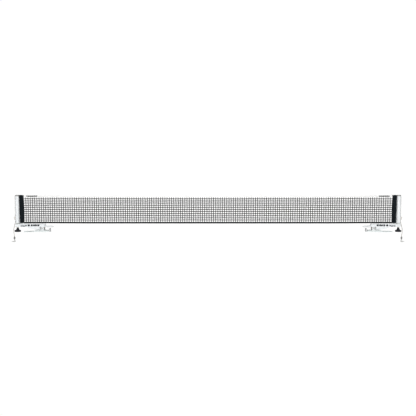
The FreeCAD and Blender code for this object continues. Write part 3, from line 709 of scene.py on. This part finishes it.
def make_sleeve(side, place):
    z0, z1 = 18.3, 151.3
    ply = 0.5
    r2 = np.random.default_rng(11 if side == "left" else 23)
    ph = r2.uniform(0, 6.28, 8)
    outer, inner = [], []
    zs_ = np.concatenate([[z0, z0 + 0.35], np.linspace(z0 + 1.2, z1 - 1.0, 92), [z1 - 0.45, z1]])
    for z in zs_:
        f = (z - z0) / (z1 - z0)
        top = np.clip((z - 134.0) / 12.5, 0, 1)
        top = top * top * (3 - 2 * top)
        P, N = loop_of(sleeve_outline(top))
        # the pull of the net draws the cloth inwards, most at mid height
        lean = np.interp(z, [18, 40, 80, 120, 140, 152], [2.1, 1.7, 1.15, 0.8, 0.45, 0.25])
        pull_in = np.interp(z, [18, 40, 80, 110, 130, 142, 152], [1.3, 1.8, 2.3, 1.2, 0.1, -0.9, -1.2])
        u0 = P[:, 0].copy()
        P[:, 0] = u0 + lean * np.clip((30.3 - u0) / 12.0, 0, 1) + pull_in * np.clip((u0 - 30.3) / 8.9, 0, 1)
        u = u0
        face = np.sign(P[:, 1])
        w = (0.20 * np.sin(z * 0.105 + ph[0] + u * 0.33 + face) + 0.15 * np.sin(z * 0.21 + ph[1] - u * 0.46 + face * 2)
             + 0.09 * np.sin(z * 0.47 + ph[2] + u * 0.8) + 0.05 * np.sin(z * 0.95 + ph[3] - u * 1.3 + face))
        w = np.clip(w, -0.34, 0.34) * np.clip((38.5 - u) / 6, 0.15, 1) * min(1, 8 * min(f, 1 - f) + 0.2) * (1 - 0.75 * top)
        # tight pulls where the stitches gather the cloth
        groove = 0.26 * np.exp(-((u - 36.7) / 0.5) ** 2) + 0.22 * np.exp(-((u - 38.3) / 0.38) ** 2)
        gather = 0.10 * np.cos(2 * math.pi * z / 3.6) * np.exp(-((u - 36.7) / 1.6) ** 2)
        hem = 0.16 * np.exp(-((z - (z0 + 5.2)) / 0.45) ** 2)
        rnd = 0.35 * (1 - min(1.0, (z - z0) / 0.5)) + 0.45 * max(0.0, 1 - (z1 - z) / 0.9) ** 2
        out = P + N * (w - groove + gather - hem - rnd - 0.12)[:, None]
        out[:, 0] = np.maximum(out[:, 0], 17.62)
        inn = out - N * ply
        keep = np.sign(P[:, 1]) * 0.05
        inn[:, 1] = np.where(inn[:, 1] * P[:, 1] < 0, keep, inn[:, 1])
        outer.append((out, z))
        inner.append((inn, z))
    # the cloth turns in over the head of the post and leaves a slit for the cord
    P, N = loop_of(sleeve_outline(1.0))
    uc = 28.5
    lid_o, lid_i = [], []
    for f, dz in ((0.16, 0.30), (0.35, 0.42), (0.6, 0.46), (0.82, 0.46), (0.94, 0.43)):
        q = P.copy()
        q[:, 0] = uc + (q[:, 0] - uc) * (1 - 0.055 * f) 
        q[:, 1] *= (1 - f)
        q[:, 0] = np.maximum(q[:, 0], 17.75 + 0.5 * f)
        lid_o.append((q, z1 + dz))
        qi = P.copy()
        qi[:, 0] = uc + (qi[:, 0] - uc) * (0.96 - 0.055 * f)
        qi[:, 1] *= 0.91 * (1 - f)
        lid_i.append((qi, z1 + dz - 0.42))
    seq = outer + lid_o + lid_i[::-1] + inner[:-2][::-1]
    sec = np.array([np.stack([(p_[:, 0] - 915) * MM, p_[:, 1] * MM, np.full(len(p_), z_ * MM)], -1) for p_, z_ in seq])
    k, s, _ = sec.shape
    verts = place(sec).reshape(-1, 3)
    j = np.arange(k)[:, None]
    q = np.arange(s)[None, :]
    q1 = (q + 1) % s
    j1 = (j + 1) % k
    quads = np.stack([j * s + q, j * s + q1, j1 * s + q1, j1 * s + q], -1).reshape(-1, 4)
    o = fix_normals(mesh_obj(side + "_sleeve_cloth", verts, quads, M["black_fabric"]))
    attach(o, "net_carrier")
    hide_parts(side + "_net_sleeve")
    # two rows of upright stitches on the sewn edge
    f = np.linspace(-0.5, 0.5, 6)
    paths = []
    for u in (36.7, 38.3):
        for z in np.arange(z0 + 3, z1 - 6, 3.6):
            top = np.clip((z - 134.0) / 12.5, 0, 1)
            top = top * top * (3 - 2 * top)
            dd = 1.50 + 1.35 * top - (0.26 if u < 37 else 0.22) - 0.12
            for s_ in (-1, 1):
                py = s_ * (dd + 0.16 - (np.abs(f) * 2) ** 3 * 0.32)
                paths.append(np.stack([np.full(6, u - 915) + f * 0.2, py, z + f * 2.6], -1) * MM)
    v, qq, tt = tube_arrays(place(np.array(paths)), 0.0002, 5)
    so = fast_mesh(side + "_sleeve_stitches", v, qq, M["black_thread"], tt)
    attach(so, "net_carrier")
    girth = np.linalg.norm(np.diff(np.concatenate([P, P[:1]]), axis=0), axis=1).sum() * MM
    return o, so, float(girth), (z1 - z0) * MM


sleeves = both_ends(make_sleeve)


# ------------------------------------------------------------------ cords
def braid_tube(name, pts, r, mat, step=0.00045, sides=14, lay=0.0052, depth=0.075):
    """A braided cord along a smooth line: eight raised strands, four each way."""
    pts = np.asarray(pts, float)
    seg = np.linalg.norm(np.diff(pts, axis=0), axis=1)
    s = np.concatenate([[0], np.cumsum(seg)])
    m = max(8, int(s[-1] / step))
    ss = np.linspace(0, s[-1], m)
    line = np.stack([np.interp(ss, s, pts[:, i]) for i in range(3)], -1)
    # parallel transported frames
    t = np.gradient(line, axis=0)
    t /= np.linalg.norm(t, axis=1, keepdims=True)
    a = np.cross(t[0], [0, 1, 0.0])
    if np.linalg.norm(a) < 1e-3:
        a = np.cross(t[0], [1, 0, 0.0])
    a /= np.linalg.norm(a)
    rings = []
    for i in range(m):
        a = a - t[i] * a.dot(t[i])
        a /= np.linalg.norm(a)
        b = np.cross(t[i], a)
        th = np.arange(sides) * 2 * math.pi / sides
        k = 2 * math.pi * ss[i] / lay
        w = np.maximum(np.cos(4 * th + k * 4), np.cos(4 * th - k * 4))
        rr = r * (1 - depth + depth * w)
        rings.append(line[i] + rr[:, None] * (a[None] * np.cos(th)[:, None] + b[None] * np.sin(th)[:, None]))
    return section_sweep(name, np.array(rings), mat), s[-1]


# tension cord: up the outside of the post, over the cap and through the tape
CR = 0.00115
zc, bend, cu = 0.1496, 0.0032, -1.6
arc = [((cu * MM - HALF) + bend * (1 - math.cos(a)), 0, zc - bend + bend * math.sin(a)) for a in np.linspace(0, math.pi / 2, 12)]
lp_ = [((cu * MM - HALF), 0, z) for z in np.linspace(0.0331, zc - bend, 40)[:-1]] + arc
inner_x = U(60)


def make_top_end(side, place):
    pts_ = place(np.array(lp_ + [(U(10), 0, zc), (U(25), 0, zc), (inner_x, 0, zc)]))
    o, _ = braid_tube(side + "_tension_cord", pts_, CR, M["beige_cord"])
    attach(o, "net_carrier")
    return o


tcs = both_ends(make_top_end)
mv, mq, mt = tube_arrays(np.array([[(x, 0, zc) for x in np.linspace(inner_x, -inner_x, 30)]]), CR * 0.97, 12)
mid_cord = fast_mesh("middle_tension_cord", mv, mq, M["beige_cord"], mt)
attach(mid_cord, "net_carrier")
for o in tcs + [mid_cord]:
    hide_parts("top_cord")

# hanging tails: the same route points as the model
TAIL = [(-1.6, 0.0, 33.0), (-1.6, 0.0, 24.0), (-4.6, -0.4, 12.0), (-8.8, -0.5, -2.0),
        (-11.0, -0.2, -17.0), (-9.9, 0.1, -31.0), (-8.2, 0.0, -42.0), (-7.8, 0.0, -52.0),
        (-7.75, 0.0, -61.0)]


def nurbs(points, name):
    cu_ = bpy.data.curves.new(name, "CURVE")
    cu_.dimensions = "3D"
    cu_.resolution_u = 24
    sp = cu_.splines.new("NURBS")
    sp.points.add(len(points) - 1)
    for p, q in zip(sp.points, points):
        p.co = (q[0], q[1], q[2], 1)
    sp.order_u = 3
    sp.use_endpoint_u = True
    o = bpy.data.objects.new(name, cu_)
    bpy.context.scene.collection.objects.link(o)
    return o


def read_line(o):
    bpy.context.view_layer.update()
    me = bpy.data.meshes.new_from_object(o.evaluated_get(bpy.context.evaluated_depsgraph_get()))
    pts_ = np.array([v.co for v in me.vertices], float)
    bpy.data.meshes.remove(me)
    return pts_


def make_tail(side, place):
    route_pts = place(np.array([((p[0] - 915) * MM, p[1] * MM, p[2] * MM) for p in TAIL]))
    c = nurbs(route_pts, side + "_tail_line")
    line = read_line(c)
    bpy.data.objects.remove(c)
    o, length = braid_tube(side + "_hanging_cord", line, CR, M["beige_cord"])
    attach(o, "net_carrier")
    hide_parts(side + "_cord_tail")
    return o


tails = both_ends(make_tail)

# ------------------------------------------------------------------ torsion springs
PU, PZ = U(127.0), -0.005
SR, SW, SP = 7.9, 1.1, 2.6
TURN_DEG = 75.0 + 73.0 + 360.0 * 5


def make_spring(side, place):
    half = SP * TURN_DEG / 360 / 2
    m = 300
    tt = np.linspace(0, 1, m)
    phi = np.radians(75.0) - np.radians(TURN_DEG) * tt
    coil = np.stack([127 + SR * np.cos(phi), -half + 2 * half * tt, -5 + SR * np.sin(phi)], -1)
    d0 = coil[1] - coil[0]
    d0 /= np.linalg.norm(d0)
    d1 = coil[-1] - coil[-2]
    d1 /= np.linalg.norm(d1)
    la = [coil[0] - d0 * s for s in np.linspace(34.3, 0.8, 12)]
    lb = [coil[-1] + d1 * s for s in np.linspace(0.8, 29.8, 12)]
    line = np.concatenate([la, coil, lb])
    line[:, 0] -= 915
    line *= MM
    rad = np.full(len(line), SW * MM)
    rad[0] = rad[-1] = SW * MM * 0.72
    v, q, t = tube_arrays(place(line)[None], rad[None], 14)
    o = fast_mesh(side + "_spring_wire", v, q, M["spring_steel"], t)
    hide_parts(side + "_torsion_spring")
    a = place(np.array([[PU, -half * MM, PZ], [PU, half * MM, PZ]]))
    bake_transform(o)
    return o


springs = both_ends(make_spring)


# ------------------------------------------------------------------ plain printed marks
def rounded_plate(name, side, place, u0, u1, z0, z1, y, r, mat, th=0.06, skew=0.0):
    """A thin raised print on a front face: rounded bar from u0 to u1 and z0 to z1."""
    pts_ = []
    for cx, cz, a0 in ((u1 - r, z1 - r, 0), (u0 + r, z1 - r, 90), (u0 + r, z0 + r, 180), (u1 - r, z0 + r, 270)):
        for a in np.radians(np.linspace(a0, a0 + 90, 6)):
            x, z = cx + r * math.cos(a), cz + r * math.sin(a)
            pts_.append((x + skew * (z - z0), z))
    front = [((x - 915) * MM, (y - th) * MM, z * MM) for x, z in pts_]
    back = [((x - 915) * MM, (y + 0.01) * MM, z * MM) for x, z in pts_]
    k = len(pts_)
    v = np.array(front + back)
    if side == "right":
        v[:, 0] *= -1                      # the mark faces the viewer at both ends
    faces = [tuple(range(k)), tuple(range(2 * k - 1, k - 1, -1))] + [(i, (i + 1) % k, k + (i + 1) % k, k + i) for i in range(k)]
    return fix_normals(mesh_obj(name, v, faces, mat, smooth=False))


def make_marks(side):
    out = []
    # plain shapes, no lettering: a dot, slanted dashes and thin lines on the arm; short dashes on the tape
    specs = [(60.0, 70.0, 4.2, 13.0, 4.3, "print_dark", 0.0)]
    u = 74.0
    for w in (7.0, 5.0, 9.0, 5.0, 7.0):
        specs.append((u, u + w, 5.0, 12.8, 0.8, "print_dark", 0.22))
        u += w + 1.7
    for z, far in ((8.3, 56.0), (5.5, 56.0), (2.8, 47.0)):
        specs.append((25.5, far - 12.0, z, z + 1.6, 0.7, "print_grey", 0.0))
        specs.append((far - 10.5, far, z - 0.1, z + 1.7, 0.7, "print_dark", 0.0))
    for i, (a, b, c, d, r, m, sk) in enumerate(specs):
        o = rounded_plate("%s_arm_mark_%d" % (side, i), side, None, a, b, c, d, -17.0, r, M[m], skew=sk)
        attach(o, "clamp_frames")
        out.append(o)
    u = 53.5
    for i, w in enumerate((4.5, 9.0, 5.5, 11.0, 6.0, 8.5)):
        o = rounded_plate("%s_tape_mark_%d" % (side, i), side, None, u, u + w, 144.4, 149.2, -1.62, 0.6, M["print_tape"], th=0.62)
        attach(o, "net_carrier")
        out.append(o)
        u += w + 1.2
    return out


marks = make_marks("left") + make_marks("right")
